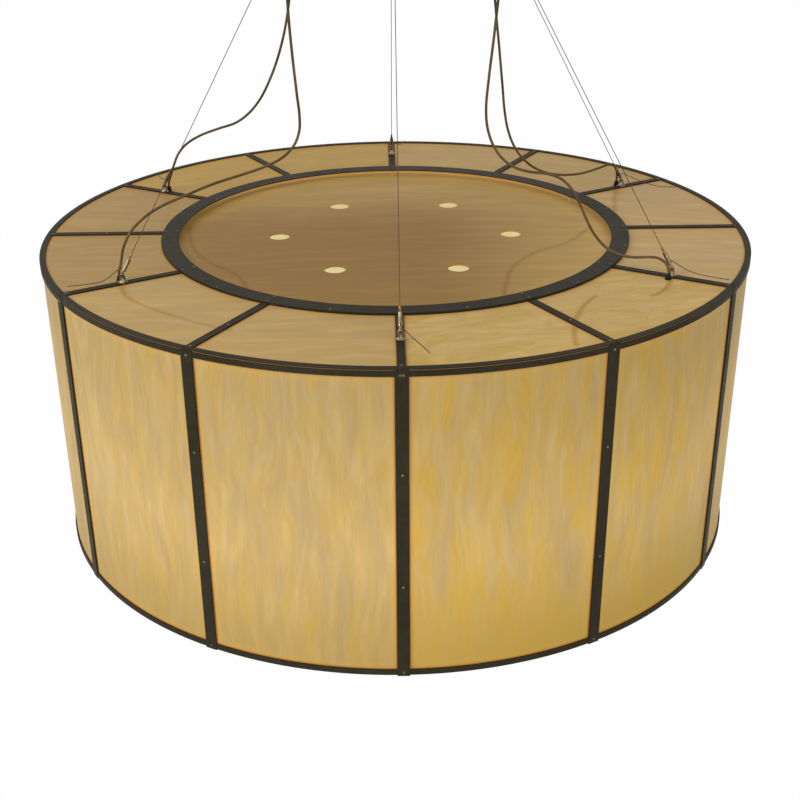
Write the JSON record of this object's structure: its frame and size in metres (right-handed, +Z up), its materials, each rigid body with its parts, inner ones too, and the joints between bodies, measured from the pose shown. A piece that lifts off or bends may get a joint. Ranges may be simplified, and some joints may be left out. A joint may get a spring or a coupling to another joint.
{
  "type": "pendant light",
  "caption": "Wide drum pendant light in a dark metal frame with translucent amber sheets, hung from a round canopy by splayed cables with swivel grippers.",
  "frame": {"origin": "middle of the ceiling plate's top face, which lies against the ceiling", "axes": "+Z up, square to the ceiling; -Y towards the spoke whose gripper is nearest the viewer"},
  "size_m": [1.5294, 1.5294, 1.269],
  "materials": {
    "bronze_metal": "dark bronze, satin",
    "amber_sheet": "translucent, brushed amber",
    "polished_nickel": "polished",
    "polished_brass": "polished",
    "wire_rope": "stranded wire",
    "galvanised_steel": "zinc plated",
    "black_nylon": "matt moulded",
    "cord_sleeve": "smooth bronze-brown sleeve",
    "light_strip_cover": "diffusing cover"
  },
  "bodies": {
    "canopy": {"ceiling_plate": "galvanised_steel", "canopy_pan": "bronze_metal"},
    "drum": {"top_frame": "bronze_metal", "centre_ring": "bronze_metal", "centre_disc": "amber_sheet", "side_frame": "bronze_metal", "bottom_frame": "bronze_metal", "bottom_diffuser": "amber_sheet", "lamp_carrier": "galvanised_steel", "light_strip": "light_strip_cover", "top_sheet_1": "amber_sheet", "top_sheet_2": "amber_sheet", "top_sheet_3": "amber_sheet", "top_sheet_4": "amber_sheet", "top_sheet_5": "amber_sheet", "top_sheet_6": "amber_sheet", "side_sheet_1": "amber_sheet", "side_sheet_2": "amber_sheet", "side_sheet_3": "amber_sheet", "side_sheet_4": "amber_sheet", "side_sheet_5": "amber_sheet", "side_sheet_6": "amber_sheet", "gripper_bell_1": "polished_nickel", "gripper_bell_2": "polished_nickel", "gripper_bell_3": "polished_nickel", "gripper_bell_4": "polished_nickel", "gripper_bell_5": "polished_nickel", "gripper_bell_6": "polished_nickel", "strain_relief_1": "black_nylon", "strain_relief_2": "black_nylon", "strain_relief_3": "black_nylon", "strain_relief_4": "black_nylon", "power_cord_1": "cord_sleeve", "power_cord_2": "cord_sleeve", "power_cord_3": "cord_sleeve", "power_cord_4": "cord_sleeve"},
    "cable_1": {"suspension_cable_1": "wire_rope"},
    "gripper_1": {"gripper_body_1": "polished_nickel", "cable_tail_1": "wire_rope"},
    "plunger_1": {"release_plunger_1": "polished_brass"},
    "cable_2": {"suspension_cable_2": "wire_rope"},
    "gripper_2": {"gripper_body_2": "polished_nickel", "cable_tail_2": "wire_rope"},
    "plunger_2": {"release_plunger_2": "polished_brass"},
    "cable_3": {"suspension_cable_3": "wire_rope"},
    "gripper_3": {"gripper_body_3": "polished_nickel", "cable_tail_3": "wire_rope"},
    "plunger_3": {"release_plunger_3": "polished_brass"},
    "cable_4": {"suspension_cable_4": "wire_rope"},
    "gripper_4": {"gripper_body_4": "polished_nickel", "cable_tail_4": "wire_rope"},
    "plunger_4": {"release_plunger_4": "polished_brass"},
    "cable_5": {"suspension_cable_5": "wire_rope"},
    "gripper_5": {"gripper_body_5": "polished_nickel", "cable_tail_5": "wire_rope"},
    "plunger_5": {"release_plunger_5": "polished_brass"},
    "cable_6": {"suspension_cable_6": "wire_rope"},
    "gripper_6": {"gripper_body_6": "polished_nickel", "cable_tail_6": "wire_rope"},
    "plunger_6": {"release_plunger_6": "polished_brass"}
  },
  "joints": [
    {"name": "drum_height", "type": "slide", "parent": "canopy", "child": "drum", "axis": [0, 0, 1], "range_m": [-0.02, 0.02], "deforming": ["power_cord_1", "power_cord_2", "power_cord_3", "power_cord_4"]},
    {"name": "cable_swing_1", "type": "hinge", "parent": "canopy", "child": "cable_1", "pos_m": [0, -0.28, -0.06], "axis": [-1, 0, 0], "range_deg": [-1, 1]},
    {"name": "gripper_swivel_1", "type": "hinge", "parent": "drum", "child": "gripper_1", "pos_m": [0, -0.631, -0.607], "axis": [-1, 0, 0], "range_deg": [-1, 1]},
    {"name": "plunger_press_1", "type": "slide", "parent": "gripper_1", "child": "plunger_1", "axis": [0, -0.5401, -0.8416], "range_m": [0, 0.0025], "stiffness_N_per_m": 800, "springref_m": -0.002},
    {"name": "cable_swing_2", "type": "hinge", "parent": "canopy", "child": "cable_2", "pos_m": [-0.24249, -0.14, -0.06], "axis": [-0.5, 0.866, 0], "range_deg": [-1, 1]},
    {"name": "gripper_swivel_2", "type": "hinge", "parent": "drum", "child": "gripper_2", "pos_m": [-0.54646, -0.3155, -0.607], "axis": [-0.5, 0.866, 0], "range_deg": [-1, 1]},
    {"name": "plunger_press_2", "type": "slide", "parent": "gripper_2", "child": "plunger_2", "axis": [-0.4677, -0.27, -0.8416], "range_m": [0, 0.0025], "stiffness_N_per_m": 800, "springref_m": -0.002},
    {"name": "cable_swing_3", "type": "hinge", "parent": "canopy", "child": "cable_3", "pos_m": [-0.24249, 0.14, -0.06], "axis": [0.5, 0.866, 0], "range_deg": [-1, 1]},
    {"name": "gripper_swivel_3", "type": "hinge", "parent": "drum", "child": "gripper_3", "pos_m": [-0.54646, 0.3155, -0.607], "axis": [0.5, 0.866, 0], "range_deg": [-1, 1]},
    {"name": "plunger_press_3", "type": "slide", "parent": "gripper_3", "child": "plunger_3", "axis": [-0.4677, 0.27, -0.8416], "range_m": [0, 0.0025], "stiffness_N_per_m": 800, "springref_m": -0.002},
    {"name": "cable_swing_4", "type": "hinge", "parent": "canopy", "child": "cable_4", "pos_m": [0, 0.28, -0.06], "axis": [1, 0, 0], "range_deg": [-1, 1]},
    {"name": "gripper_swivel_4", "type": "hinge", "parent": "drum", "child": "gripper_4", "pos_m": [0, 0.631, -0.607], "axis": [1, 0, 0], "range_deg": [-1, 1]},
    {"name": "plunger_press_4", "type": "slide", "parent": "gripper_4", "child": "plunger_4", "axis": [0, 0.5401, -0.8416], "range_m": [0, 0.0025], "stiffness_N_per_m": 800, "springref_m": -0.002},
    {"name": "cable_swing_5", "type": "hinge", "parent": "canopy", "child": "cable_5", "pos_m": [0.24249, 0.14, -0.06], "axis": [0.5, -0.866, 0], "range_deg": [-1, 1]},
    {"name": "gripper_swivel_5", "type": "hinge", "parent": "drum", "child": "gripper_5", "pos_m": [0.54646, 0.3155, -0.607], "axis": [0.5, -0.866, 0], "range_deg": [-1, 1]},
    {"name": "plunger_press_5", "type": "slide", "parent": "gripper_5", "child": "plunger_5", "axis": [0.4677, 0.27, -0.8416], "range_m": [0, 0.0025], "stiffness_N_per_m": 800, "springref_m": -0.002},
    {"name": "cable_swing_6", "type": "hinge", "parent": "canopy", "child": "cable_6", "pos_m": [0.24249, -0.14, -0.06], "axis": [-0.5, -0.866, 0], "range_deg": [-1, 1]},
    {"name": "gripper_swivel_6", "type": "hinge", "parent": "drum", "child": "gripper_6", "pos_m": [0.54646, -0.3155, -0.607], "axis": [-0.5, -0.866, 0], "range_deg": [-1, 1]},
    {"name": "plunger_press_6", "type": "slide", "parent": "gripper_6", "child": "plunger_6", "axis": [0.4677, -0.27, -0.8416], "range_m": [0, 0.0025], "stiffness_N_per_m": 800, "springref_m": -0.002}
  ],
  "couplings": [
    {"joint": "cable_swing_1", "follows": "drum_height", "rad_per_m": 0.83095},
    {"joint": "gripper_swivel_1", "follows": "drum_height", "rad_per_m": 0.83095},
    {"joint": "cable_swing_2", "follows": "drum_height", "rad_per_m": 0.83095},
    {"joint": "gripper_swivel_2", "follows": "drum_height", "rad_per_m": 0.83095},
    {"joint": "cable_swing_3", "follows": "drum_height", "rad_per_m": 0.83095},
    {"joint": "gripper_swivel_3", "follows": "drum_height", "rad_per_m": 0.83095},
    {"joint": "cable_swing_4", "follows": "drum_height", "rad_per_m": 0.83095},
    {"joint": "gripper_swivel_4", "follows": "drum_height", "rad_per_m": 0.83095},
    {"joint": "cable_swing_5", "follows": "drum_height", "rad_per_m": 0.83095},
    {"joint": "gripper_swivel_5", "follows": "drum_height", "rad_per_m": 0.83095},
    {"joint": "cable_swing_6", "follows": "drum_height", "rad_per_m": 0.83095},
    {"joint": "gripper_swivel_6", "follows": "drum_height", "rad_per_m": 0.83095}
  ]
}
